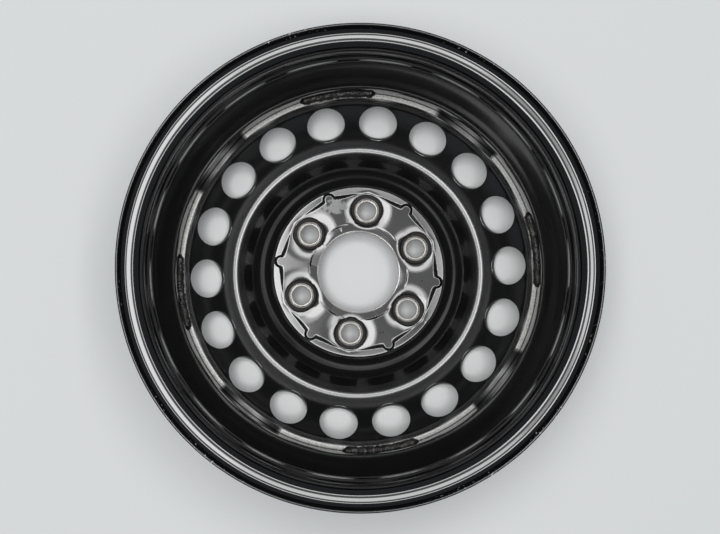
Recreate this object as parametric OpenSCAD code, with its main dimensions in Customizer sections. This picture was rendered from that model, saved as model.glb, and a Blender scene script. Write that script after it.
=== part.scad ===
// Pressed-steel road wheel lying on its street-side lip, hub side up.
// A roll-formed rim carries a pressed disc, and four fillet welds join the two.
// The origin is on the wheel's axis, midway between the flange faces.

/* [Rim strip] */
// Diameter where the bead seats meet the flange faces
rim_diameter = 405.6; // [400:0.1:432]
// Width between the two flange faces
rim_width = 165.1; // [160:0.1:190]
// Thickness of the strip
rim_sheet = 2.8; // [2.4:0.1:3.2]
// Height of the flanges above the bead seats
flange_height = 17.5; // [16.5:0.1:20]
// Radius of the flange curl on the tyre side
curl_radius = 9.5; // [8.5:0.1:10.5]
// Straight run of the lip past its curl
lip_run = 1; // [0.5:0.1:3]
// Fillet between bead seat and flange on the tyre side
seat_fillet = 6.5; // [5:0.1:7.5]
// Slope of the bead seats in degrees
seat_slope = 5; // [3:0.5:7]
// Distance from a flange face to its safety hump
hump_distance = 21; // [19:0.5:23]
// Rise of a hump's corner above the bead seat, before it is rounded
hump_height = 2.2; // [1.6:0.1:2.6]
// Axial length of each flank of a hump
hump_run = 6; // [5.8:0.1:8]
// Bend radius over the top of a hump
hump_bend = 5; // [4:0.1:5.4]

/* [Rim well] */
// Depth of the well below the bead seat diameter
well_depth = 17; // [16:0.1:20]
// Axial run of the steep wall on the street side of the well
well_wall_run = 11.5; // [11:0.1:14]
// Bend radius at the street-side corner of the well
well_bend = 8; // [6:0.5:9]
// Bend radius where the floor turns into the long leg
leg_bend = 40; // [25:1:60]
// Slope of the leg's lower part in degrees
leg_slope = 15; // [14:0.1:17]
// Bend radius where the two parts of the leg meet
bow_bend = 150; // [100:10:200]
// Slope of the leg's upper part in degrees
upper_slope = 12.7; // [11:0.1:13.5]
// Axial run of the leg's upper part
upper_run = 35; // [30:0.5:40]
// Bend radius at the knee, where the leg ends
knee_bend = 30; // [15:1:40]
// Axial distance from the knee to the foot of the hump
knee_distance = 10.5; // [8:0.1:14]
// Step of the leg below the bead seat, at the foot of the hump
leg_step = 1.4; // [0.8:0.1:2]
// Diameter of the valve hole
valve_hole = 11.5; // [9:0.1:12]
// Turn of the valve hole about the axis in degrees
valve_turn = 52; // [0:1:359]

/* [Disc pressing] */
// Thickness of the disc
disc_sheet = 5; // [4:0.1:5.2]
// Offset of the hub face from the rim's mid-plane, towards the street
hub_offset = 62; // [56:0.5:64]
// Diameter of the centre bore
bore_diameter = 84.1; // [70:0.1:90]
// Diameter of the shallow dish round the bore
dish_diameter = 100.6; // [98:0.1:104]
// Step from the hub face down to the dish
dish_step = 0.4; // [0.2:0.1:0.8]
// Fall of the dish from its edge to the bore
dish_fall = 0.6; // [0.2:0.1:1.2]
// Height of the coined pads above the pressing
pad_rise = 1.2; // [0.8:0.1:1.6]
// Distance across the flats of the pads' outline
pad_flats = 157.2; // [152:0.1:160]
// Radius of the round tab at the middle of each pad
tab_radius = 5.6; // [4:0.1:5.8]
// Distance from the axis to the tabs' centres
tab_distance = 82; // [80:0.1:82.2]
// Radius of the notches at the neck of each tab
neck_radius = 1.3; // [0.8:0.1:1.8]
// Radius where the level part of the hub ends, under the pads' edge
level_radius = 80.4; // [79:0.1:82]
// Radius of the ledge round the pads
ledge_radius = 88; // [87.9:0.1:90]
// Fall of the ledge from the level part to its edge
ledge_fall = 0.5; // [0.2:0.1:0.9]
// Bend radius at the edge of the ledge
ledge_bend = 1.6; // [1:0.1:2]
// Width of the steep wall outside the ledge, in plan
wall_run = 3; // [2.4:0.1:4]
// Drop of the wall's foot below the pressing's level part
wall_drop = 4.4; // [3.6:0.1:5]
// Bend radius at the wall's foot
wall_bend = 3; // [2:0.1:4]
// Radius of the outer edge of the shelf round the hub
shelf_radius = 104; // [102:0.5:107]
// Fall of the shelf from the wall's foot to its outer edge
shelf_fall = 5.2; // [4:0.1:6]
// Bend radius at the shelf's outer edge
shelf_bend = 12; // [8:1:18]
// Radius of the ring where the disc turns back, at its street-side crown
crown_radius = 132.4; // [129:0.1:135]
// Drop of the crown's corner below the hub face, before it is rounded
crown_drop = 29.9; // [26:0.1:31]
// Inner bend radius at the crown
crown_bend = 16; // [12:0.5:17]
// Bend radius where the vent band turns up into the flange
flange_bend = 10; // [7:0.5:11]
// Length of the flange from its corner to its edge
flange_wall = 20.2; // [17:0.1:22]
// Length of the flange that lies on the well floor
flange_seat = 11.7; // [9:0.1:16]
// Room between the disc's flange and the well it is pressed into
fit_gap = 0.05; // [0.02:0.01:0.1]

/* [Bolt holes] */
// Number of bolt holes
bolt_count = 6; // [4:1:8]
// Diameter of the bolt circle
bolt_circle = 130; // [126:0.1:134]
// Diameter of a bolt hole
bolt_hole = 18.5; // [15:0.1:20]
// Turn of the first bolt hole about the axis in degrees
bolt_turn = 22.4; // [0:0.1:60]
// Radius where a bolt recess starts to fall from the hub face
recess_mouth = 23.2; // [22.4:0.1:25]
// Bend radius at the mouth of a bolt recess
mouth_bend = 50; // [20:5:50]
// Radius where a bolt recess turns from its slow fall into its wall
recess_rim = 17.3; // [16.5:0.1:18.5]
// Slow fall of a bolt recess from its mouth to its wall
recess_fall = 1.1; // [0.6:0.1:1.2]
// Radius of a bolt recess at its floor
recess_floor = 12.6; // [12:0.1:13.2]
// Depth of the bolt recesses below the hub face
recess_depth = 4.5; // [4:0.1:5]
// Bend radius where a bolt recess turns into its wall
recess_bend = 5; // [3:0.5:6]
// Radius of the rounded collar round a bolt hole
collar_radius = 1.4; // [1:0.1:1.8]
// Radius of the ball-shaped bolt seats on the street side
seat_ball = 14; // [13:0.5:16]
// Depth of the bolt seats
seat_depth = 3; // [2:0.1:3.5]

/* [Vent holes] */
// Number of vent holes
vent_count = 18; // [12:1:20]
// Diameter of a vent hole
vent_diameter = 40; // [30:0.5:41]
// Turn of the first vent hole about the axis in degrees
vent_turn = 2.5; // [0:0.1:20]
// Radial distance from the flange's inner wall to the vents' centres
vent_inset = 19; // [18.5:0.1:22]

/* [Welds and flange edge] */
// Number of welds, and of dips in the flange edge between them
weld_count = 4; // [3:1:6]
// Turn of the first weld about the axis in degrees
weld_turn = 7; // [0:0.5:90]
// Length of a weld in degrees
weld_arc = 24.5; // [12:0.5:30]
// Leg of the welds up the rim wall
weld_rise = 5.5; // [4:0.1:7]
// Leg of the welds across the flange edge
weld_reach = 4.4; // [3:0.1:4.6]
// Bulge of a weld's face past a straight fillet
weld_bulge = 0.9; // [0.4:0.1:1.4]
// Length of a dip in degrees
dip_arc = 23.7; // [16:0.1:28]
// Depth of a dip below the flange edge
dip_depth = 9.5; // [5:0.5:10]

/* [Hidden] */
$fn = 144;

// Largest step along a bend in degrees, and how far cutters run past a face
arc_step = 9;
past = 10;

// Rim: the middle of the strip at its seats, flanges, humps and well
flange_face = rim_width / 2;
flange_mid = flange_face + rim_sheet / 2;
lip_mid_r = rim_diameter / 2 + flange_height - rim_sheet / 2;
lip_end = flange_face + curl_radius + lip_run;
hump_z = flange_face - hump_distance;
well_mid_r = rim_diameter / 2 - well_depth - rim_sheet / 2;
well_in_r = well_mid_r - rim_sheet / 2;
well_corner_z = -hump_z + well_wall_run;
leg_foot_r = seat_mid_r(hump_distance) - leg_step;
knee_z = hump_z - hump_run - knee_distance;
bow_r = leg_foot_r - upper_run * tan(upper_slope);
bow_z = knee_z - upper_run;
well_end_z = bow_z - (bow_r - well_mid_r) / tan(leg_slope);
well_wall_drop = hump_mid_r() - well_mid_r;
well_wall_slope = atan2(well_wall_drop, well_wall_run);
well_floor_z = well_corner_z + (well_bend + rim_sheet / 2) * tan(well_wall_slope / 2);

// Disc: heights of its levels, and the corner of its flange
hub_z = -hub_offset;
base_z = hub_z - pad_rise;
shelf_z = base_z - wall_drop;
crown_z = hub_z - crown_drop;
flange_r = well_in_r - fit_gap;
flange_in_r = flange_r - disc_sheet;
edge_z = well_floor_z + flange_seat;
flange_corner_z = edge_z - flange_wall;
shelf_r = ledge_radius + wall_run;
bore_r = bore_diameter / 2;
dish_r = dish_diameter / 2;
dish_slope = dish_fall / (dish_r - bore_r);
dish_z = hub_z - dish_step;
band_slope = atan2(flange_corner_z - crown_z, flange_in_r - crown_radius);
vent_r = flange_in_r - vent_inset;
vent_z = flange_corner_z - vent_inset * tan(band_slope);
pad_sides = 2 * bolt_count;
flat_to_corner = 1 / cos(180 / pad_sides);

// Bolt recess: levels of its floor and of the boss on the street side
recess_z = hub_z - recess_depth;
boss_z = recess_z - disc_sheet;
seat_mouth = sqrt(pow(seat_ball, 2) - pow(seat_centre_drop(), 2));

// Drop from the boss's face to the centre of a bolt seat's ball
function seat_centre_drop() = sqrt(pow(seat_ball, 2) - pow(bolt_hole / 2, 2)) - seat_depth;

// Middle radius of the strip at a bead seat, at a distance from the flange face
function seat_mid_r(distance) =
    rim_diameter / 2 - rim_sheet / 2 / cos(seat_slope) - distance * tan(seat_slope);
function hump_mid_r() = seat_mid_r(hump_distance) + hump_height;

// Plane vectors: direction, left-hand normal, turning angle and rotation
function unit(v) = v / norm(v);
function left_of(v) = [-v.y, v.x];
function turn_between(a, b) = atan2(a.x * b.y - a.y * b.x, a * b);
function turned(v, angle) = [v.x * cos(angle) - v.y * sin(angle), v.x * sin(angle) + v.y * cos(angle)];
function place(point) = [point.x, point.y];
function reversed(list) = [for (i = [len(list) - 1:-1:0]) list[i]];

// Points round one bend of a path of [radius, height, bend radius], shifted to the left of the path
function bend(path, i, shift) =
    let (
        ahead = unit(place(path[i]) - place(path[i - 1])),
        after = unit(place(path[i + 1]) - place(path[i])),
        angle = turn_between(ahead, after),
        radius = path[i].z,
        start = place(path[i]) - ahead * radius * tan(abs(angle) / 2),
        centre = start + left_of(ahead) * radius * sign(angle),
        spoke = (start - centre) * (radius - sign(angle) * shift) / radius,
        steps = max(1, ceil(abs(angle) / arc_step))
    )
    [for (k = [0:steps]) centre + turned(spoke, angle * k / steps)];

// One side of a sheet that follows a path
function sheet_side(path, shift) =
    let (
        last = len(path) - 1,
        first_way = unit(place(path[1]) - place(path[0])),
        last_way = unit(place(path[last]) - place(path[last - 1]))
    )
    concat(
        [place(path[0]) + left_of(first_way) * shift],
        [for (i = [1:last - 1]) each bend(path, i, shift)],
        [place(path[last]) + left_of(last_way) * shift]
    );

// Half-round end of a sheet, from its left side to its right side
function round_end(path, half) =
    let (
        last = len(path) - 1,
        way = unit(place(path[last]) - place(path[last - 1])),
        steps = ceil(180 / (2 * arc_step))
    )
    [for (k = [1:steps - 1]) place(path[last]) + turned(left_of(way) * half, -180 * k / steps)];

// One half of the rim's path, from the hump out to the lip: side is 1 towards the hub side
function flange_path(side) = [
    [hump_mid_r(), side * hump_z, hump_bend],
    [seat_mid_r(hump_distance - hump_run), side * (hump_z + hump_run), 2 * hump_bend],
    [seat_mid_r(-rim_sheet / 2), side * flange_mid, seat_fillet + rim_sheet / 2],
    [lip_mid_r, side * flange_mid, curl_radius - rim_sheet / 2],
    [lip_mid_r, side * lip_end, 0]
];

rim_path = concat(
    reversed(flange_path(-1)),
    [
        [well_mid_r, well_corner_z, well_bend + rim_sheet / 2],
        [well_mid_r, well_end_z, leg_bend],
        [bow_r, bow_z, bow_bend],
        [leg_foot_r, knee_z, knee_bend],
        [leg_foot_r, hump_z - hump_run, 2 * hump_bend]
    ],
    flange_path(1)
);

// Outer part of the disc, which both of its sides follow
band_path = [
    [shelf_r, shelf_z, wall_bend],
    [shelf_radius, shelf_z - shelf_fall, shelf_bend],
    [crown_radius, crown_z, crown_bend],
    [flange_in_r, flange_corner_z, flange_bend],
    [flange_in_r, edge_z, 0]
];

// The disc's two sides from the bore outwards: the coined hub side, and the plainer street side
bore_start = [bore_r - past / 2, dish_z - dish_slope * (dish_r - bore_r + past / 2), 0];
hub_side = concat(
    [
        bore_start,
        [dish_r, dish_z, 3],
        [dish_r + 4, base_z, 3],
        [level_radius, base_z, 2],
        [ledge_radius, base_z - ledge_fall, ledge_bend]
    ],
    band_path
);
street_side = concat([bore_start, [level_radius, base_z, disc_sheet + 2]], band_path);

// Copies of a shape, turned evenly about the wheel's axis
module round_the_axis(count, first) {
    for (i = [0:count - 1])
        rotate([0, 0, first + i * 360 / count])
            children();
}

// Roll-formed strip with curled flanges, humps and well, and the valve hole through the well's wall
module rim() {
    half = rim_sheet / 2;
    wall_middle = [(hump_mid_r() + well_mid_r) / 2, 0, (well_corner_z - hump_z) / 2];
    color([0.05, 0.05, 0.06])
        difference() {
            rotate_extrude()
                polygon(concat(
                    sheet_side(rim_path, half),
                    round_end(rim_path, half),
                    reversed(sheet_side(rim_path, -half)),
                    round_end(reversed(rim_path), half)
                ));
            rotate([0, 0, valve_turn])
                translate(wall_middle)
                    rotate([0, 90 - well_wall_slope, 0])
                        cylinder(d = valve_hole, h = 2 * past, center = true);
        }
}

// Coined pads between the bolt holes, with a round tab at the middle of each
module pad_outline() {
    difference() {
        union() {
            rotate(bolt_turn)
                circle(d = pad_flats * flat_to_corner, $fn = pad_sides);
            for (i = [0:bolt_count - 1])
                rotate(bolt_turn + (i + 0.5) * 360 / bolt_count)
                    translate([tab_distance, 0])
                        circle(r = tab_radius);
        }
        circle(r = dish_r);
        for (i = [0:bolt_count - 1], side = [-1, 1])
            rotate(bolt_turn + (i + 0.5) * 360 / bolt_count)
                translate([pad_flats / 2 + 0.4, side * (tab_radius + 0.6)])
                    circle(r = neck_radius);
    }
}

// Boss on the street side that backs one bolt recess
module bolt_boss() {
    height = base_z - disc_sheet / 3 - boss_z;
    translate([0, 0, boss_z])
        cylinder(r1 = recess_floor + disc_sheet / 2, r2 = recess_rim + disc_sheet, h = height);
}

// Rounded recess that sinks one bolt hole below the pads
module bolt_recess() {
    path = [
        [0, recess_z, 0],
        [recess_floor, recess_z, collar_radius],
        [recess_rim, hub_z - recess_fall, recess_bend],
        [recess_mouth, hub_z, mouth_bend],
        [recess_mouth + past, hub_z + 0.4, 0]
    ];
    rotate_extrude()
        polygon(concat(sheet_side(path, 0), [[recess_mouth + past, hub_z + past], [0, hub_z + past]]));
}

// Bolt hole with its ball seat, which opens to the street side
module bolt_cut() {
    translate([0, 0, boss_z - past])
        cylinder(d = bolt_hole, h = recess_depth + disc_sheet + 2 * past);
    translate([0, 0, boss_z - seat_centre_drop()])
        sphere(r = seat_ball);
}

// Collar of metal that the bolt seat pushes up round its hole
module bolt_collar() {
    translate([0, 0, recess_z])
        rotate_extrude()
            translate([bolt_hole / 2 + collar_radius, 0])
                circle(r = collar_radius);
}

// Vent hole punched square to the sloping band
module vent_cut() {
    translate([vent_r, 0, vent_z])
        rotate([0, -band_slope, 0])
            cylinder(d = vent_diameter, h = 4 * disc_sheet, center = true);
}

// Shallow dip of the flange edge, cut along the radius
module edge_dip() {
    half_width = flange_r * sin(dip_arc / 2);
    radius = (pow(half_width, 2) + pow(dip_depth, 2)) / (2 * dip_depth);
    translate([flange_in_r - past, 0, edge_z - dip_depth + radius])
        rotate([0, 90, 0])
            cylinder(r = radius, h = disc_sheet + 2 * past);
}

// Disc pressed from one sheet: hub, bolt recesses, crown, vent band and flange
module disc() {
    color([0.07, 0.07, 0.08])
        difference() {
            union() {
                difference() {
                    union() {
                        rotate_extrude()
                            polygon(concat(
                                sheet_side(hub_side, 0),
                                reversed(sheet_side(street_side, -disc_sheet))
                            ));
                        translate([0, 0, base_z - pad_rise])
                            linear_extrude(2 * pad_rise)
                                pad_outline();
                        round_the_axis(bolt_count, bolt_turn)
                            translate([bolt_circle / 2, 0, 0])
                                bolt_boss();
                    }
                    round_the_axis(bolt_count, bolt_turn)
                        translate([bolt_circle / 2, 0, 0])
                            bolt_recess();
                }
                round_the_axis(bolt_count, bolt_turn)
                    translate([bolt_circle / 2, 0, 0])
                        bolt_collar();
            }
            translate([0, 0, crown_z - past])
                cylinder(d = bore_diameter, h = crown_drop + 2 * past);
            round_the_axis(bolt_count, bolt_turn)
                translate([bolt_circle / 2, 0, 0])
                    bolt_cut();
            round_the_axis(vent_count, vent_turn)
                vent_cut();
            round_the_axis(weld_count, weld_turn + 180 / weld_count)
                edge_dip();
        }
}

// Fillet welds between the flange edge and the well
module weld_beads() {
    wall_r = well_in_r - fit_gap;
    foot_z = edge_z + fit_gap;
    toe = [wall_r - weld_reach, foot_z];
    top = [wall_r, foot_z + weld_rise];
    crest = (toe + top) / 2 + left_of(unit(top - toe)) * 2 * weld_bulge;
    steps = 8;
    color([0.10, 0.09, 0.08])
        round_the_axis(weld_count, weld_turn - weld_arc / 2)
            rotate_extrude(angle = weld_arc)
                polygon(concat(
                    [[wall_r, foot_z]],
                    [for (k = [0:steps]) let (u = k / steps)
                        top * u * u + crest * 2 * u * (1 - u) + toe * (1 - u) * (1 - u)]
                ));
}

rim();
disc();
weld_beads();
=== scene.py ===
import math

import bmesh
import bpy
from mathutils import Matrix, Vector, noise


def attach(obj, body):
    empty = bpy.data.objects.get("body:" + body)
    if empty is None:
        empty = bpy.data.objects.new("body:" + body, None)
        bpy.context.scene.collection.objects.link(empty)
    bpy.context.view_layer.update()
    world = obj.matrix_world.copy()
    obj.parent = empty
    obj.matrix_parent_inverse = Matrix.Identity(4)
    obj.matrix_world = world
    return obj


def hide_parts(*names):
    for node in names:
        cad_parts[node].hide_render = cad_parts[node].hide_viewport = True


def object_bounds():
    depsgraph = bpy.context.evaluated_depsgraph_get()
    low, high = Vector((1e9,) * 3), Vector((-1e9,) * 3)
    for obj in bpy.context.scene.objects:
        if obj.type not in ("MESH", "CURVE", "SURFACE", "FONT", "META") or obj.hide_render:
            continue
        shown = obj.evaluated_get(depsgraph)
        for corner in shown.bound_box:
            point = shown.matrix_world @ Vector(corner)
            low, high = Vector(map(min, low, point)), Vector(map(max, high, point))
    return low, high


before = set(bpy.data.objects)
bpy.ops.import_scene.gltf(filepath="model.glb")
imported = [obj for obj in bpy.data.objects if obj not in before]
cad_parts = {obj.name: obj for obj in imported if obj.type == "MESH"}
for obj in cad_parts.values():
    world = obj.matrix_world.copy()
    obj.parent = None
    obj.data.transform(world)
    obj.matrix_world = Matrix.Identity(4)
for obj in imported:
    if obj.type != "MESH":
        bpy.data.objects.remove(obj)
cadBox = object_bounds()
mm = 0.001  # sizes below are in millimetres
closeGap = 1e-6  # vertices nearer than this, in metres, are one


# Bent-sheet sections: a path is a list of (radius, height, bend radius)

def runTo(bm, tip, place):
    made = bmesh.ops.extrude_vert_indiv(bm, verts=[tip])
    made["verts"][0].co = place
    return made["verts"][0]


def turnAbout(bm, tip, centre, angle, steps):
    made = bmesh.ops.spin(bm, geom=[tip], cent=centre, axis=(0, -1, 0), dvec=(0, 0, 0), angle=angle,
                          steps=steps, use_merge=False, use_normal_flip=False, use_duplicate=False)
    return [g for g in made["geom_last"] if isinstance(g, bmesh.types.BMVert)][0]


def drawSide(bm, path, shift, arcStep):
    # one side of a sheet: straight runs are extruded, bends are spun about their centres
    points = [Vector((r, 0.0, z)) * mm for r, z, bend in path]
    ways = [(b - a).normalized() for a, b in zip(points, points[1:])]
    lefts = [Vector((-w.z, 0.0, w.x)) for w in ways]
    first = tip = bm.verts.new(points[0] + lefts[0] * shift * mm)
    for i in range(1, len(path) - 1):
        a, b = ways[i - 1], ways[i]
        turn = math.atan2(a.x * b.z - a.z * b.x, a.dot(b))
        bend = path[i][2] * mm
        start = points[i] - a * bend * math.tan(abs(turn) / 2)
        centre = start + lefts[i - 1] * math.copysign(bend, turn)
        tip = runTo(bm, tip, start + lefts[i - 1] * shift * mm)
        if bend > 0:
            steps = max(1, round(math.degrees(abs(turn)) / arcStep))
            tip = turnAbout(bm, tip, centre, turn, steps)
    return first, runTo(bm, tip, points[-1] + lefts[-1] * shift * mm)


def splitLongEdges(bm, longest):
    # longest gives the greatest edge length in millimetres at a radius and height
    for edge in list(bm.edges):
        middle = (edge.verts[0].co + edge.verts[1].co) / 2 / mm
        cuts = int(edge.calc_length() / mm / longest(middle.x, middle.z))
        if cuts:
            bmesh.ops.subdivide_edges(bm, edges=[edge], cuts=cuts)


def spinRound(bm, geom, steps, angle=2 * math.pi):
    closed = angle >= 2 * math.pi
    return bmesh.ops.spin(bm, geom=geom, cent=(0, 0, 0), axis=(0, 0, 1), dvec=(0, 0, 0), angle=angle,
                          steps=steps, use_merge=closed, use_normal_flip=False, use_duplicate=False)


def spinSectors(bm, steps, sectors):
    # a full turn as one spun sector and turned copies of it
    spinRound(bm, bm.verts[:] + bm.edges[:], steps // sectors, 2 * math.pi / sectors)
    first = bm.verts[:] + bm.edges[:] + bm.faces[:]
    for i in range(1, sectors):
        made = bmesh.ops.duplicate(bm, geom=first)["geom"]
        copied = [g for g in made if isinstance(g, bmesh.types.BMVert)]
        turn = Matrix.Rotation(2 * math.pi * i / sectors, 3, "Z")
        bmesh.ops.rotate(bm, verts=copied, cent=(0, 0, 0), matrix=turn)
    bmesh.ops.remove_doubles(bm, verts=bm.verts, dist=closeGap)


def addTo(bm, other):
    mesh = bpy.data.meshes.new("part")
    other.to_mesh(mesh)
    other.free()
    bm.from_mesh(mesh)
    bpy.data.meshes.remove(mesh)


def easeStep(x):
    x = min(1.0, max(0.0, x))
    return x * x * (3 - 2 * x)


def softMin(a, b, width):
    k = max(0.0, 1 - abs(a - b) / width)
    return min(a, b) - k * k * width / 4


def softMax(a, b, width):
    return -softMin(-a, -b, width)


# Holes: a spot turns a place into (across, along, out of the sheet) and back

def coneSpot(turn, radius, height, slope):
    turn, slope = math.radians(turn), math.radians(slope)
    c, s = math.cos(slope), math.sin(slope)

    def toSpot(co):
        r = math.hypot(co.x, co.y) / mm
        angle = math.atan2(co.y, co.x) - turn
        angle = math.atan2(math.sin(angle), math.cos(angle))
        dr, dz = r - radius, co.z / mm - height
        return r * math.sin(angle), dr * c + dz * s - r * (1 - math.cos(angle)) * c, dz * c - dr * s

    def fromSpot(across, along, out):
        r, angle = radius, 0.0
        for _ in range(4):  # a few rounds settle the radius and the angle
            r = radius + (along + r * (1 - math.cos(angle)) * c) * c - out * s
            angle = math.asin(across / r)
        slant = along + r * (1 - math.cos(angle)) * c
        z = height + slant * s + out * c
        return Vector((r * math.cos(turn + angle), r * math.sin(turn + angle), z)) * mm

    return toSpot, fromSpot, fromSpot(0, 0, 0)


def flatSpot(turn, radius, height):
    turn = math.radians(turn)
    centre = Vector((radius * math.cos(turn), radius * math.sin(turn), height))

    def toSpot(co):
        d = co / mm - centre
        return d.x, d.y, d.z

    def fromSpot(across, along, out):
        return (centre + Vector((across, along, out))) * mm

    return toSpot, fromSpot, centre * mm


def walkRound(edges, toSpot):
    # the vertices of a closed loop in order of their angle about the spot
    vert = edges[0].verts[0]
    around = []
    left = set(edges)
    while left:
        edge = [e for e in vert.link_edges if e in left][0]
        left.remove(edge)
        across, along, out = toSpot(vert.co)
        around.append((math.atan2(along, across) % (2 * math.pi), vert))
        vert = edge.other_vert(vert)
    gained = sum(1 if b[0] > a[0] else -1 for a, b in zip(around, around[1:]))
    if gained < 0:
        around.reverse()
    low = min(range(len(around)), key=lambda i: around[i][0])
    around = around[low:] + around[:low]
    return around + [(around[0][0] + 2 * math.pi, around[0][1])]


def joinRings(bm, outer, inner):
    i = j = 0
    while i + 1 < len(outer) or j + 1 < len(inner):
        if j + 1 == len(inner) or (i + 1 < len(outer) and outer[i + 1][0] < inner[j + 1][0]):
            bm.faces.new((outer[i][1], outer[i + 1][1], inner[j][1]))
            i += 1
        else:
            bm.faces.new((outer[i][1], inner[j + 1][1], inner[j][1]))
            j += 1


def openHole(bm, spot, cutRadius, section, steps, arcStep=12):
    # cuts both skins of a sheet round a spot and joins them by a spun section through the hole
    toSpot, fromSpot, centre = spot
    upper, lower = section[0][1], section[-1][1]
    reach = (cutRadius + abs(upper) + abs(lower) + 6) * mm  # farther faces are passed over
    gone = []
    for face in bm.faces:
        middle = face.calc_center_median()
        if (middle - centre).length < reach:
            across, along, out = toSpot(middle)
            if math.hypot(across, along) < cutRadius:
                gone.append(face)
    bmesh.ops.delete(bm, geom=gone, context="FACES")
    edges = [e for e in bm.edges if e.is_boundary]
    half = (upper + lower) / 2
    loops = {"upper": [], "lower": []}
    for edge in edges:
        out = sum(toSpot(v.co)[2] for v in edge.verts) / 2
        loops["upper" if out > half else "lower"].append(edge)
    for vert in {v for e in edges for v in e.verts}:
        across, along, out = toSpot(vert.co)
        grow = cutRadius / math.hypot(across, along)
        vert.co = fromSpot(across * grow, along * grow, upper if out > half else lower)
    insert = bmesh.new()
    drawSide(insert, section, 0, arcStep)
    spinRound(insert, insert.verts[:] + insert.edges[:], steps)
    for vert in insert.verts:
        vert.co = fromSpot(vert.co.x / mm, vert.co.y / mm, vert.co.z / mm)
    known = set(edges)
    addTo(bm, insert)
    for edge in [e for e in bm.edges if e.is_boundary and e not in known]:
        out = sum(toSpot(v.co)[2] for v in edge.verts) / 2
        loops["upper" if out > half else "lower"].append(edge)
    for skin in loops.values():
        outer = walkRound([e for e in skin if e in known], toSpot)
        inner = walkRound([e for e in skin if e not in known], toSpot)
        joinRings(bm, outer, inner)


def finishPiece(bm, name, node, material, marks=None, sharp=60):
    # marks are strengths from 0 to 1, kept at each vertex for the material to read
    bmesh.ops.remove_doubles(bm, verts=bm.verts, dist=closeGap)
    bmesh.ops.recalc_face_normals(bm, faces=bm.faces)
    mesh = bpy.data.meshes.new(name)
    bm.to_mesh(mesh)
    openEdges = sum(e.is_boundary or not e.is_manifold for e in bm.edges)
    bm.free()
    mesh.polygons.foreach_set("use_smooth", [True] * len(mesh.polygons))
    mesh.set_sharp_from_angle(angle=math.radians(sharp))
    piece = bpy.data.objects.new(name, mesh)
    bpy.context.scene.collection.objects.link(piece)
    piece.modifiers.new("even_normals", "WEIGHTED_NORMAL").keep_sharp = True
    mesh.materials.append(material)
    for mark, strength in (marks or {}).items():
        layer = mesh.attributes.new(mark, "FLOAT", "POINT")
        layer.data.foreach_set("value", [strength(v.co / mm) for v in mesh.vertices])
    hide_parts(node)
    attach(piece, "root")
    print(name, "faces", len(mesh.polygons), "open edges", openEdges)


# Materials

def feed(tree, node, inputs):
    # each input, by name or number, gets a link from a socket or a plain value
    for key, value in inputs.items():
        if isinstance(value, bpy.types.NodeSocket):
            tree.links.new(value, node.inputs[key])
        else:
            node.inputs[key].default_value = value
    return node


def addNode(tree, kind, inputs):
    return feed(tree, tree.nodes.new(kind), inputs)


def multiply(tree, a, b):
    node = addNode(tree, "ShaderNodeMath", {0: a, 1: b})
    node.operation = "MULTIPLY"
    return node.outputs[0]


def stretch(tree, value, low, high):
    # low and high become 0 and 1
    limits = {"Value": value, "From Min": low, "From Max": high}
    return addNode(tree, "ShaderNodeMapRange", limits).outputs[0]


def addClouds(tree, place, scale, detail):
    settings = {"Vector": place, "Scale": scale, "Detail": detail}
    return addNode(tree, "ShaderNodeTexNoise", settings).outputs["Fac"]


def addPatches(tree, place, scale, detail, low, high):
    # the looks below list these last four numbers together
    return stretch(tree, addClouds(tree, place, scale, detail), low, high)


def addBump(tree, height, strength, distance):
    settings = {"Strength": strength, "Distance": distance, "Height": height}
    return addNode(tree, "ShaderNodeBump", settings).outputs["Normal"]


def addBlot(tree, place, blot):
    # 1 inside a small ellipse, given in millimetres as (x, y, half width, half height), and 0 outside it
    x, y, wide, high = blot
    moved = addNode(tree, "ShaderNodeVectorMath", {0: place, 1: (-x * mm, -y * mm, 0)})
    scale = (1 / wide / mm, 1 / high / mm, 0)
    scaled = addNode(tree, "ShaderNodeVectorMath", {0: moved.outputs[0], 1: scale})
    scaled.operation = "MULTIPLY"
    away = addNode(tree, "ShaderNodeVectorMath", {0: scaled.outputs[0]})
    away.operation = "LENGTH"
    return stretch(tree, away.outputs["Value"], 1.15, 0.85)  # with a soft edge


def addMark(tree, name):
    node = tree.nodes.new("ShaderNodeAttribute")
    node.attribute_name = name
    return node.outputs["Fac"]


def mixValue(tree, share, a, b):
    return addNode(tree, "ShaderNodeMix", {0: share, 2: a, 3: b}).outputs[0]


def mixColour(tree, share, a, b):
    node = tree.nodes.new("ShaderNodeMix")
    node.data_type = "RGBA"
    return feed(tree, node, {0: share, 6: a, 7: b}).outputs[2]


def newMaterial(name):
    material = bpy.data.materials.new(name)
    material.use_nodes = True
    tree = material.node_tree
    return material, tree, tree.nodes["Principled BSDF"]


def objectPlace(tree):
    return tree.nodes.new("ShaderNodeTexCoord").outputs["Object"]


paintLook = {"colour": (0.002, 0.002, 0.0022, 1), "peel": (420, 2), "peelStrength": 0.25,
             "peelHeight": 0.00002, "haze": (26, 5, 0.35, 0.7)}


def blackPaint(tree, shader, place, rough, gloss):
    # gloss black with orange peel; gives its uneven roughness for more to be added
    look = paintLook
    peel = addClouds(tree, place, *look["peel"])
    normal = addBump(tree, peel, look["peelStrength"], look["peelHeight"])
    feed(tree, shader, {"Base Color": look["colour"], "IOR": gloss, "Normal": normal})
    haze = addPatches(tree, place, *look["haze"])
    return mixValue(tree, haze, rough[0], rough[1])


# Rim

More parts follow.
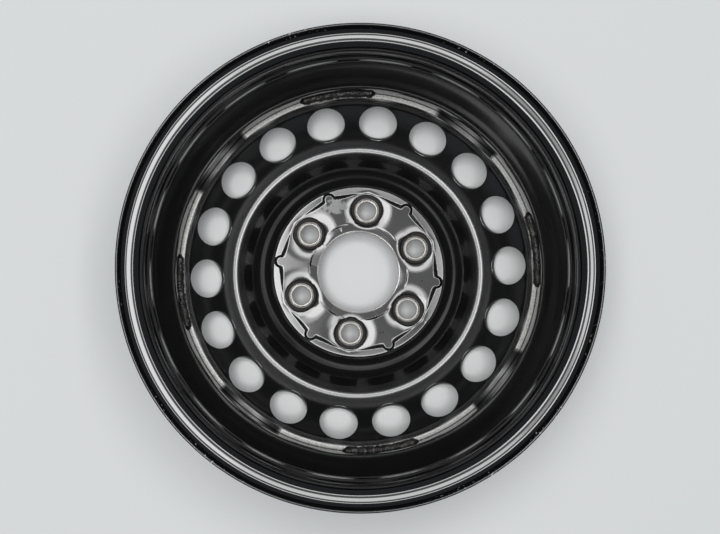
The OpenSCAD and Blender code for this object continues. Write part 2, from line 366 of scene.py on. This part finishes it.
rimSpec = {"seatRadius": 202.8, "flangeFace": 82.55, "sheet": 2.8, "flangeHeight": 17.5, "curlRadius": 9.5,
           "lipRun": 1.0, "seatFillet": 6.5, "seatSlope": 5.0, "humpDistance": 21.0, "humpHeight": 2.2,
           "humpRun": 6.0, "humpBend": 5.0, "wellDepth": 17.0, "wellWallRun": 11.5, "wellBend": 8.0,
           "legBend": 40.0, "legSlope": 15.0, "bowBend": 150.0, "upperSlope": 12.7, "upperRun": 35.0,
           "kneeBend": 30.0, "kneeDistance": 10.5, "legStep": 1.4,
           "valveHole": 11.5, "valveTurn": 52.0, "holeRound": 0.5, "holeLand": 0.9, "holeCut": 1.6,
           "holeSteps": 36, "lipSteps": 10, "chipRadius": 216.5, "chipHeight": 5.0, "spinSteps": 384,
           "sectors": 12, "arcStep": 8.0, "longest": 7.5}


def seatMiddle(distance):
    slope = math.radians(rimSpec["seatSlope"])
    return rimSpec["seatRadius"] - rimSpec["sheet"] / 2 / math.cos(slope) - distance * math.tan(slope)


def humpMiddle():
    return seatMiddle(rimSpec["humpDistance"]) + rimSpec["humpHeight"]


def flangePath(side):
    s = rimSpec
    half = s["sheet"] / 2
    lip = s["seatRadius"] + s["flangeHeight"] - half
    middle = s["flangeFace"] + half
    hump = s["flangeFace"] - s["humpDistance"]
    return [(humpMiddle(), side * hump, s["humpBend"]),
            (seatMiddle(s["humpDistance"] - s["humpRun"]), side * (hump + s["humpRun"]), 2 * s["humpBend"]),
            (seatMiddle(-half), side * middle, s["seatFillet"] + half),
            (lip, side * middle, s["curlRadius"] - half),
            (lip, side * (s["flangeFace"] + s["curlRadius"] + s["lipRun"]), 0)]


def rimPath():
    s = rimSpec
    well = s["seatRadius"] - s["wellDepth"] - s["sheet"] / 2
    hump = s["flangeFace"] - s["humpDistance"]
    corner = s["wellWallRun"] - hump
    foot = seatMiddle(s["humpDistance"]) - s["legStep"]
    knee = hump - s["humpRun"] - s["kneeDistance"]
    bow = foot - s["upperRun"] * math.tan(math.radians(s["upperSlope"]))
    end = knee - s["upperRun"] - (bow - well) / math.tan(math.radians(s["legSlope"]))
    leg = [(well, corner, s["wellBend"] + s["sheet"] / 2), (well, end, s["legBend"]),
           (bow, knee - s["upperRun"], s["bowBend"]), (foot, knee, s["kneeBend"]),
           (foot, hump - s["humpRun"], 2 * s["humpBend"])]
    return flangePath(-1)[::-1] + leg + flangePath(1)


def lipMark(co):
    # the outer edge of the vehicle-side lip, where the paint is chipped
    s = rimSpec
    high = co.z > s["flangeFace"] + s["chipHeight"]
    return 1.0 if high and math.hypot(co.x, co.y) > s["chipRadius"] else 0.0


rimLook = {"rough": (0.05, 0.09), "gloss": 1.6, "chipColour": (0.42, 0.4, 0.36, 1), "chipRough": 0.6,
           "chips": (330, 2, 0.66, 0.7), "groups": (9, 2, 0.5, 0.62)}


def rimPaint():
    # black with groups of small chips on the lip
    look = rimLook
    material, tree, shader = newMaterial("rimPaint")
    place = objectPlace(tree)
    rough = blackPaint(tree, shader, place, look["rough"], look["gloss"])
    chips = addPatches(tree, place, *look["chips"])
    groups = addPatches(tree, place, *look["groups"])
    chips = multiply(tree, multiply(tree, chips, groups), addMark(tree, "lip"))
    colour = mixColour(tree, chips, paintLook["colour"], look["chipColour"])
    feed(tree, shader, {"Base Color": colour, "Roughness": mixValue(tree, chips, rough, look["chipRough"])})
    return material


def makeRim():
    s = rimSpec
    half = s["sheet"] / 2
    path = rimPath()
    ends = [Vector((r, 0, z)) * mm for r, z, bend in (path[0], path[-1])]
    bm = bmesh.new()
    tyreEnd = drawSide(bm, path, half, s["arcStep"])[1]
    backStart = drawSide(bm, path, -half, s["arcStep"])[0]
    turnAbout(bm, tyreEnd, ends[1], -math.pi, s["lipSteps"])
    turnAbout(bm, backStart, ends[0], -math.pi, s["lipSteps"])
    bmesh.ops.remove_doubles(bm, verts=bm.verts, dist=closeGap)
    splitLongEdges(bm, lambda r, z: s["longest"])
    spinSectors(bm, s["spinSteps"], s["sectors"])
    print("rim spun", len(bm.faces))
    hump, corner = path[4], path[5]  # the street-side wall of the well, which has the valve hole
    slope = math.degrees(math.atan2(hump[1] - corner[1], hump[0] - corner[0]))
    spot = coneSpot(s["valveTurn"], (hump[0] + corner[0]) / 2, (hump[1] + corner[1]) / 2, slope)
    hole = s["valveHole"] / 2
    land, soft = hole + s["holeLand"], s["holeRound"]
    section = [(land, half, 0), (hole, half, soft), (hole, -half, soft), (land, -half, 0)]
    openHole(bm, spot, hole + s["holeCut"], section, s["holeSteps"])
    finishPiece(bm, "rimStrip", "rim", rimPaint(), {"lip": lipMark})


# Disc

discSpec = {"sheet": 5.0, "hubFace": -62.0, "bore": 42.05, "hubReach": 100.0, "dishRadius": 50.3,
            "dishDrop": 1.0, "dishEdgeDrop": 0.4, "dishRun": 4.0, "dishBend": 3.0,
            "padRise": 1.2, "padFlat": 78.6, "padEdge": 3.2, "padEase": 1.6,
            "tabEdge": 1.8, "tabRadius": 5.6, "tabDistance": 82.0, "levelRadius": 80.4, "levelBend": 2.0,
            "ledgeRadius": 89.2, "ledgeDrop": 1.3, "ledgeBend": 1.2,
            "facetSlopes": (0.055, 0.036, 0.032, 0.012, 0.004, 0.03, 0.02, 0.0, 0.0, 0.015, 0.05, 0.055),
            "shelf": [(91.6, 5.7, 3), (99.3, 9.9, 20), (104.6, 11.7, 12),
                      (113.0, 16.75, 8), (121.5, 22.9, 8)],
            "crownRadius": 132.4, "crownDrop": 28.6, "crownBend": 9.5, "flangeInner": 177.95,
            "flangeCorner": -53.5, "flangeBend": 10.0, "flangeEdge": -33.3, "edgeRound": 0.7,
            "boltCount": 6, "boltTurn": 22.4, "boltCircle": 65.0, "boltHole": 9.25, "recessDepth": 4.5,
            "recessFloor": 12.6, "recessWall": 1.1, "recessMouth": 31.5, "mouthBend": 76.0, "recessEase": 1.6,
            "recessSoft": 0.8, "recessCut": 15.2, "recessLap": 0.5, "floorEase": 1.0, "floorRun": 0.4,
            "floorBend": 1.2, "collarCrest": 11.1, "collarRise": 0.8, "collarBend": 3.5, "holeBend": 0.6,
            "seatBall": 14.0, "seatDepth": 3.0, "seatBend": 0.4, "mouthRound": 0.5,
            "bossRadius": 15.2, "bossSlope": 0.47, "bossReach": 30.0, "bossEase": 1.0,
            "ventCount": 18, "ventTurn": 2.5, "ventRadius": 20.0, "ventInset": 19.0, "ventRound": 0.9,
            "ventLand": 1.4, "ventCut": 2.2, "ventArc": 30.0,
            "dipCount": 4, "dipTurn": 52.0, "dipArc": 23.7, "dipDepth": 9.5, "dipFoot": 4.2,
            "spinSteps": 576, "sectors": 12, "arcStep": 9.0, "boltSteps": 60, "ventSteps": 56, "joinGap": 0.2,
            "fineSteps": [(76, 1.3), (90, 0.85)], "fineDepth": 4.5, "coarseStep": 6.0}


def foldTurn(angle, first, count):
    pitch = 360 / count
    return (angle - first + pitch / 2) % pitch - pitch / 2


def foldPlace(x, y, first, count):
    # the place as seen from the nearest of evenly spaced directions: (along it, beside it)
    r = math.hypot(x, y)
    turn = math.radians(foldTurn(math.degrees(math.atan2(y, x)), first, count))
    return r * math.cos(turn), r * math.sin(turn)


def padHeight(x, y):
    # height of the coined pads from 0 to 1: twelve flats with sloping edges, and six round tabs
    s = discSpec
    half = 180 / s["boltCount"]
    along = foldPlace(x, y, s["boltTurn"] + half / 2, 2 * s["boltCount"])[0]
    flats = 1 - min(1.0, max(0.0, (along - s["padFlat"]) / s["padEdge"]))
    along, beside = foldPlace(x, y, s["boltTurn"] + half, s["boltCount"])
    tab = 1 - easeStep((math.hypot(along - s["tabDistance"], beside) - s["tabRadius"]) / s["tabEdge"] + 0.5)
    return max(flats, tab)


def boltDistance(x, y):
    along, beside = foldPlace(x, y, discSpec["boltTurn"], discSpec["boltCount"])
    return math.hypot(along - discSpec["boltCircle"], beside)


def recessHeight(distance):
    # height of a bolt recess over the hub face at a distance from its axis: a slow fall, then a steep wall
    s = discSpec
    fall = max(0.0, s["recessMouth"] - distance) ** 2 / (2 * s["mouthBend"])
    wall = (distance - s["recessFloor"]) * s["recessWall"] - s["recessDepth"]
    return softMax(softMin(wall, -fall, s["recessEase"]), -s["recessDepth"], s["floorEase"])


def shapeHubTop(x, y, z):
    # the ledge's twelve flats, then the pads on them, then the bolt recesses
    s = discSpec
    half = 180 / s["boltCount"]
    along = foldPlace(x, y, s["boltTurn"] + half / 2, 2 * s["boltCount"])[0]
    facet = int((math.degrees(math.atan2(y, x)) - s["boltTurn"]) % 360 / half)
    z = min(z, s["hubFace"] - s["padRise"] - (along - s["levelRadius"]) * s["facetSlopes"][facet])
    pad = padHeight(x, y) * easeStep((math.hypot(x, y) - s["dishRadius"]) / s["padEase"])
    z = z + (s["hubFace"] - z) * pad
    bolt = boltDistance(x, y)
    if bolt > s["recessMouth"] + 2:  # clear of the recess
        return z
    soft = s["recessSoft"] * (1 - pad) + 1e-6  # never quite 0, as softMin divides by it
    return softMin(z, s["hubFace"] + recessHeight(bolt), soft)


def shapeHubUnder(x, y, z):
    # the street side of the bolt recesses
    s = discSpec
    bolt = boltDistance(x, y)
    boss = s["hubFace"] - s["recessDepth"] - s["sheet"] + max(0, bolt - s["bossRadius"]) * s["bossSlope"]
    return softMin(z, boss, s["bossEase"]) if bolt < s["bossReach"] else z


def discPaths():
    # the upper path is the vehicle side of the sheet; the lower one is drawn a sheet's thickness below it
    s = discSpec
    hub = s["hubFace"]
    base = hub - s["padRise"]
    edge = s["edgeRound"]
    under = hub - s["dishDrop"] - s["sheet"]
    outer = s["flangeInner"] + s["sheet"]
    shelf = [(r, hub - drop, bend) for r, drop, bend in s["shelf"]]
    shelf += [(s["crownRadius"], hub - s["crownDrop"], s["crownBend"]),
              (s["flangeInner"], s["flangeCorner"], s["flangeBend"])]
    main = [(s["dishRadius"], hub - s["dishEdgeDrop"], s["dishBend"]),
            (s["dishRadius"] + s["dishRun"], base, s["dishBend"]),
            (s["levelRadius"], base, s["levelBend"]),
            (s["ledgeRadius"], hub - s["ledgeDrop"], s["ledgeBend"])] + shelf
    lap = 3  # the upper path turns round both edges and meets the lower one this far in
    boreEdge = [(s["bore"] + lap, under, 0), (s["bore"], under, edge), (s["bore"], hub - s["dishDrop"], edge)]
    flangeEdge = [(s["flangeInner"], s["flangeEdge"], edge), (outer, s["flangeEdge"], edge),
                  (outer, s["flangeEdge"] - lap, 0)]
    below = [(s["bore"] + lap, hub - s["dishDrop"], 0),
             (s["levelRadius"], base, s["levelBend"] + s["sheet"])] + shelf
    below.append((s["flangeInner"], s["flangeEdge"] - lap, 0))
    return boreEdge + main + flangeEdge, below


def hubLongest(r, z):
    # fine rings on top of the hub, coarse ones elsewhere
    s = discSpec
    if z >= s["hubFace"] - s["fineDepth"]:
        for radius, step in s["fineSteps"]:
            if r < radius:
                return step
    return s["coarseStep"]


def dipAt(angle):
    # how far the edge of the flange dips between two welds
    s = discSpec
    half = s["dipArc"] / 2
    turn = abs(foldTurn(angle, s["dipTurn"], s["dipCount"]))
    return s["dipDepth"] * (1 - (turn / half) ** 2) if turn < half else 0.0


def shapeDisc(bm):
    s = discSpec
    flangeFoot = s["flangeCorner"] + s["dipFoot"]
    hubStart = s["bore"] + 0.2  # the wall of the bore stays as it is
    flangeStart = s["flangeInner"] - 1
    for vert in bm.verts:
        x, y, z = vert.co / mm
        r = math.hypot(x, y)
        angle = math.degrees(math.atan2(y, x))
        if hubStart < r < s["hubReach"]:
            upper = vert.normal.z > 0
            z = shapeHubTop(x, y, z) if upper else shapeHubUnder(x, y, z)
        elif r > flangeStart and z > flangeFoot:
            z = z - dipAt(angle) * (z - flangeFoot) / (s["flangeEdge"] - flangeFoot)
        vert.co = Vector((x, y, z)) * mm


def boltSection():
    # from the recess over its collar, through the hole and the ball seat to the street side
    s = discSpec
    hole, depth = s["boltHole"], s["recessDepth"]
    boss = -depth - s["sheet"]
    drop = math.sqrt(s["seatBall"] ** 2 - hole ** 2) - s["seatDepth"]
    mouth = math.sqrt(s["seatBall"] ** 2 - drop ** 2)
    outside = s["recessCut"] - s["recessLap"]
    return [(outside, recessHeight(outside), 0), (s["recessFloor"] + s["floorRun"], -depth, s["floorBend"]),
            (s["collarCrest"], s["collarRise"] - depth, s["collarBend"]), (hole, -depth, s["holeBend"]),
            (hole, boss + s["seatDepth"], s["seatBend"]), (mouth, boss, s["mouthRound"]), (outside, boss, 0)]


markSpec = {"edgeReach": 0.3, "edgeDepth": 0.9, "dipFade": 1.5, "crownReach": 12.0, "hubRadius": 90.0,
            "hubFade": 4.0, "boreReach": 1.2, "boreDepth": 1.9, "boreTint": 0.7, "recessTop": 2.2,
            "recessBase": 0.6, "recessReach": 22.0, "recessDust": 0.09, "collarRadius": 10.4,
            "collarWidth": 1.7}


def edgeMark(co):
    # the sheared edge of the flange: 1 on the strips between the dips, whose lighter worn colour is partly a
    # painted highlight, 0.5 in the dips
    s, m = discSpec, markSpec
    dip = dipAt(math.degrees(math.atan2(co.y, co.x)))
    inside = math.hypot(co.x, co.y) < s["flangeInner"] - m["edgeReach"]
    if inside or co.z < s["flangeEdge"] - dip - m["edgeDepth"]:
        return 0.0
    return 1 - 0.5 * min(1.0, dip / m["dipFade"])


def crownMark(co):
    # the crown, fading to both sides of its ring
    return max(0.0, 1 - abs(math.hypot(co.x, co.y) - discSpec["crownRadius"]) / markSpec["crownReach"])


def hubMark(co):
    # the coined hub, whose paint is less hazy
    return min(1.0, max(0.0, (markSpec["hubRadius"] - math.hypot(co.x, co.y)) / markSpec["hubFade"]))


def sheenAndDustMark(co):
    # a painted highlight on the collars round the bolt holes, a lighter tint on the edge of the bore and,
    # faintly, dust in the recesses
    s, m = discSpec, markSpec
    drop = s["hubFace"] - co.z
    if math.hypot(co.x, co.y) < s["bore"] + m["boreReach"] and drop < m["boreDepth"]:
        return m["boreTint"]
    if not m["recessTop"] < drop < s["recessDepth"] + m["recessBase"]:
        return 0.0
    distance = boltDistance(co.x, co.y)
    dust = m["recessDust"] if distance < m["recessReach"] else 0.0
    return max(dust, 1 - abs(distance - m["collarRadius"]) / m["collarWidth"])


discLook = {"rough": (0.07, 0.12), "gloss": 1.32, "coat": 1.62, "underRough": 0.4, "shine": 0.5,
            "hubShine": 0.12, "crownRough": 0.26, "crownShine": 0.75, "sheenAndDustCream": (0.4, 0.375, 0.33, 1),
            "edgeRough": 0.3, "sheared": (0.3, 0.295, 0.28, 1), "grain": (700, 3, 0.2, 0.6),
            "stain": (-24.5, 68.5, 12.5, 7.5), "stainColour": (0.05, 0.05, 0.052, 1), "stainRough": 0.35,
            "stainClouds": (160, 3, 0.4, 0.5), "dotRough": 0.9, "dotShine": 0.1,
            "dots": [(66.8, -9.6, 0.9, 0.9), (22.6, -64.0, 0.5, 2.0), (25.8, -63.2, 0.5, 1.8)]}


def discPaint():
    # a clear gloss over a hazy black, with edges worn and partly painted lighter as a highlight, a painted
    # highlight on the bolt collars, a stain and small dark marks
    look = discLook
    material, tree, shader = newMaterial("discPaint")
    place = objectPlace(tree)
    rough = blackPaint(tree, shader, place, look["rough"], look["gloss"])
    crown, edge = addMark(tree, "crown"), addMark(tree, "edge")
    rough = mixValue(tree, crown, rough, look["crownRough"])
    sheared = multiply(tree, edge, 2.0)  # full in the dips too
    rough = mixValue(tree, sheared, rough, look["edgeRough"])
    # cream laid on as a painted highlight on the bolt collars, as a lighter tint on the bore edge and as
    # faint dust in the recesses
    colour = mixColour(tree, addMark(tree, "collar"), paintLook["colour"], look["sheenAndDustCream"])
    grain = addPatches(tree, place, *look["grain"])
    # worn steel on the edge strips, partly a painted highlight where the sheared edge catches the lamp
    wornAndLit = multiply(tree, stretch(tree, edge, 0.5, 1.0), grain)  # the dips, at 0.5, stay black
    colour = mixColour(tree, wornAndLit, colour, look["sheared"])
    clouds = addPatches(tree, place, *look["stainClouds"])
    stain = multiply(tree, addBlot(tree, place, look["stain"]), clouds)
    colour = mixColour(tree, stain, colour, look["stainColour"])
    rough = mixValue(tree, stain, rough, look["stainRough"])
    shine = mixValue(tree, crown, look["shine"], look["crownShine"])
    for dot in look["dots"]:
        blot = addBlot(tree, place, dot)
        rough = mixValue(tree, blot, rough, look["dotRough"])
        shine = mixValue(tree, blot, shine, look["dotShine"])
    under = mixValue(tree, addMark(tree, "hub"), shine, look["hubShine"])
    feed(tree, shader, {"Base Color": colour, "Roughness": look["underRough"], "Specular IOR Level": under})
    coat = multiply(tree, shine, 2.0)  # a shine of 0.5 is a full coat
    feed(tree, shader, {"Coat Weight": coat, "Coat Roughness": rough, "Coat IOR": look["coat"]})
    return material


def makeDisc():
    s = discSpec
    top, below = discPaths()
    bm = bmesh.new()
    drawSide(bm, top, 0, s["arcStep"])
    drawSide(bm, below, -s["sheet"], 2 * s["arcStep"])
    splitLongEdges(bm, hubLongest)
    bmesh.ops.remove_doubles(bm, verts=bm.verts, dist=s["joinGap"] * mm)  # joins the two sides
    firstBolt = Matrix.Rotation(math.radians(s["boltTurn"]), 3, "Z")
    bmesh.ops.rotate(bm, verts=bm.verts, cent=(0, 0, 0), matrix=firstBolt)
    spinSectors(bm, s["spinSteps"], s["sectors"])
    bmesh.ops.recalc_face_normals(bm, faces=bm.faces)
    bm.normal_update()
    shapeDisc(bm)
    print("disc shaped", len(bm.faces))
    for i in range(s["boltCount"]):
        spot = flatSpot(s["boltTurn"] + i * 360 / s["boltCount"], s["boltCircle"], s["hubFace"])
        openHole(bm, spot, s["recessCut"], boltSection(), s["boltSteps"])
    bandRise = s["flangeCorner"] - s["hubFace"] + s["crownDrop"]
    slope = math.degrees(math.atan2(bandRise, s["flangeInner"] - s["crownRadius"]))
    ventZ = s["flangeCorner"] - s["ventInset"] * math.tan(math.radians(slope))
    hole, soft, land = s["ventRadius"], s["ventRound"], s["ventRadius"] + s["ventLand"]
    section = [(land, 0, 0), (hole, 0, soft), (hole, -s["sheet"], soft), (land, -s["sheet"], 0)]
    for i in range(s["ventCount"]):
        turn = s["ventTurn"] + i * 360 / s["ventCount"]
        spot = coneSpot(turn, s["flangeInner"] - s["ventInset"], ventZ, slope)
        openHole(bm, spot, hole + s["ventCut"], section, s["ventSteps"], s["ventArc"])
    print("disc holes opened", len(bm.faces))
    marks = {"edge": edgeMark, "crown": crownMark, "hub": hubMark, "collar": sheenAndDustMark}
    finishPiece(bm, "discPressing", "disc", discPaint(), marks)


# Welds

weldSpec = {"count": 4, "turn": 7.0, "arc": 24.5, "wall": 182.92, "foot": -33.22, "rise": 5.5, "reach": 4.4,
            "bulge": 1.5, "curveSteps": 8, "steps": 150, "ripple": 0.22, "pitch": 2.4, "slant": 0.35,
            "rough": 0.35, "broadLumps": 60, "lumpScale": 0.35, "fineLumps": 240, "faceDepth": 3.0,
            "beadSize": 4.0, "taper": 0.06, "endSize": 0.35}


def drawBead(start):
    # one plain bead from a start angle: a bulged triangle, spun along the edge of the flange
    s = weldSpec
    bm = bmesh.new()
    toe = Vector((s["wall"] - s["reach"], 0, s["foot"])) * mm
    crest = Vector((s["wall"], 0, s["foot"] + s["rise"])) * mm
    chord = crest - toe
    outwards = Vector((-chord.z, 0, chord.x)).normalized()
    first = tip = bm.verts.new(toe)
    for k in range(1, s["curveSteps"] + 1):
        u = k / s["curveSteps"]
        tip = runTo(bm, tip, toe + chord * u + outwards * 4 * u * (1 - u) * s["bulge"] * mm)
    corner = runTo(bm, tip, Vector((s["wall"], 0, s["foot"])) * mm)
    bm.edges.new((corner, first))
    bmesh.ops.rotate(bm, verts=bm.verts, cent=(0, 0, 0), matrix=Matrix.Rotation(math.radians(start), 3, "Z"))
    wire, edges = bm.verts[:], bm.edges[:]
    bmesh.ops.contextual_create(bm, geom=edges)
    made = spinRound(bm, wire + edges, s["steps"], math.radians(s["arc"]))
    lastEdges = [g for g in made["geom_last"] if isinstance(g, bmesh.types.BMEdge)]
    bmesh.ops.contextual_create(bm, geom=lastEdges)
    return bm


def shapeBead(bm, start):
    # ripples, lumps and tapered ends, all measured from the corner that the bead fills
    s = weldSpec
    for vert in bm.verts:
        x, y, z = vert.co / mm
        r = math.hypot(x, y)
        angle = math.atan2(y, x)
        along = (math.degrees(angle) - start) % 360
        along = 0.0 if along > 359 else along / s["arc"]  # the first section can round to a full turn
        inward, up = s["wall"] - r, z - s["foot"]
        size = s["endSize"] + (1 - s["endSize"]) * easeStep(min(along, 1 - along) / s["taper"])
        face = min(1.0, (inward + up) / s["faceDepth"])
        ridge = abs((angle * r / s["pitch"] + s["slant"] * inward) % 1 - 0.5) * 2
        broad = Vector((angle * s["broadLumps"], inward * s["lumpScale"], up * s["lumpScale"]))
        lump = noise.noise(broad) * s["rough"] * 2
        lump += noise.noise(Vector((angle * s["fineLumps"], inward, up))) * s["rough"]
        size *= 1 + face * (lump + s["ripple"] * ridge) / s["beadSize"]
        r, z = s["wall"] - inward * size, s["foot"] + up * size
        vert.co = Vector((r * math.cos(angle), r * math.sin(angle), z)) * mm


weldLook = {"dark": (0.004, 0.0038, 0.0035, 1), "rust": (0.02, 0.0165, 0.0135, 1), "rough": (0.34, 0.6),
            "patches": (140, 4, 0.4, 0.65), "grain": (900, 3), "grainStrength": 0.8, "grainHeight": 0.0004}


def weldPaint():
    # dark, with duller brown patches and a grain
    look = weldLook
    material, tree, shader = newMaterial("weldPaint")
    place = objectPlace(tree)
    patches = addPatches(tree, place, *look["patches"])
    colour = mixColour(tree, patches, look["dark"], look["rust"])
    rough = mixValue(tree, patches, look["rough"][0], look["rough"][1])
    grain = addClouds(tree, place, *look["grain"])
    normal = addBump(tree, grain, look["grainStrength"], look["grainHeight"])
    feed(tree, shader, {"Base Color": colour, "Roughness": rough, "Normal": normal})
    return material


def makeWelds():
    s = weldSpec
    bm = bmesh.new()
    for i in range(s["count"]):
        start = s["turn"] - s["arc"] / 2 + i * 360 / s["count"]
        bead = drawBead(start)
        shapeBead(bead, start)
        addTo(bm, bead)
    finishPiece(bm, "weldBeads", "weld_beads", weldPaint(), sharp=80)


# Floor, light and camera

stageLook = {"floor": (0.6, 0.61, 0.61, 1), "floorSize": 4, "floorRough": 0.85, "world": (0.53, 0.56, 0.6, 1),
             "worldStrength": 0.42, "height": 2.4,
             "boxes": [(-0.15, -0.24, 0.5, 0.48), (-0.28, -0.36, 0.62, 0.6), (-0.76, -0.71, 0.86, 0.9)],
             "middle": 0.9, "share": (0.45, 1.0),
             "glow": {"top": 10.5, "left": 12.5, "bottom": 9.5, "right": 10.5}}


def makeStage():
    bm = bmesh.new()
    bmesh.ops.create_grid(bm, x_segments=1, y_segments=1, size=stageLook["floorSize"])
    bmesh.ops.translate(bm, verts=bm.verts, vec=(0, 0, cadBox[0][2]))
    mesh = bpy.data.meshes.new("floor")
    bm.to_mesh(mesh)
    bm.free()
    floor = bpy.data.objects.new("floor", mesh)
    bpy.context.scene.collection.objects.link(floor)
    material, tree, shader = newMaterial("floorPaper")
    feed(tree, shader, {"Base Color": stageLook["floor"], "Roughness": stageLook["floorRough"]})
    mesh.materials.append(material)
    world = bpy.data.worlds.new("studio")
    bpy.context.scene.world = world
    world.use_nodes = True
    sky = world.node_tree.nodes["Background"]
    feed(world.node_tree, sky, {"Color": stageLook["world"], "Strength": stageLook["worldStrength"]})
    print("floor and sky set")


def addLamp(name, box, glow):
    wide, deep = box[2] - box[0], box[3] - box[1]
    light = bpy.data.lights.new(name, "AREA")
    light.shape = "RECTANGLE"
    light.size, light.size_y = wide, deep
    light.energy = glow * math.pi * wide * deep
    lamp = bpy.data.objects.new(name, light)
    bpy.context.scene.collection.objects.link(lamp)
    lamp.location = ((box[0] + box[2]) / 2, (box[1] + box[3]) / 2, stageLook["height"])


def makeLamps():
    # soft panels in two frames round a dimmer middle, straight overhead
    boxes, glow = stageLook["boxes"], stageLook["glow"]
    addLamp("middle", boxes[0], stageLook["middle"])
    for (a0, b0, a1, b1), (x0, y0, x1, y1), share in zip(boxes, boxes[1:], stageLook["share"]):
        addLamp("top", (x0, b1, a1, y1), glow["top"] * share)
        addLamp("left", (x0, y0, a0, b1), glow["left"] * share)
        addLamp("bottom", (a0, y0, x1, b0), glow["bottom"] * share)
        addLamp("right", (a1, b0, x1, y1), glow["right"] * share)
    print("lamps set")


# places are in metres, the focal length and the width in pixels of the photo
cameraSpec = {"place": (-0.0172, -0.0362, 1.0024), "aim": (-0.00124, -0.001, 0.094), "focal": 1015,
              "width": 720, "sensor": 36}


def makeCamera():
    camera = bpy.data.cameras.new("camera")
    camera.sensor_width = cameraSpec["sensor"]
    camera.lens = cameraSpec["sensor"] * cameraSpec["focal"] / cameraSpec["width"]
    eye = bpy.data.objects.new("camera", camera)
    bpy.context.scene.collection.objects.link(eye)
    place, aim = Vector(cameraSpec["place"]), Vector(cameraSpec["aim"])
    ahead = (aim - place).normalized()
    right = ahead.cross(Vector((0, 1, 0))).normalized()
    turn = Matrix((right, right.cross(ahead), -ahead)).transposed()
    eye.matrix_world = Matrix.Translation(place) @ turn.to_4x4()
    bpy.context.scene.camera = eye
    print("camera set")


makeRim()
makeDisc()
makeWelds()
makeStage()
makeLamps()
makeCamera()
bpy.context.scene.view_settings.view_transform = "Standard"
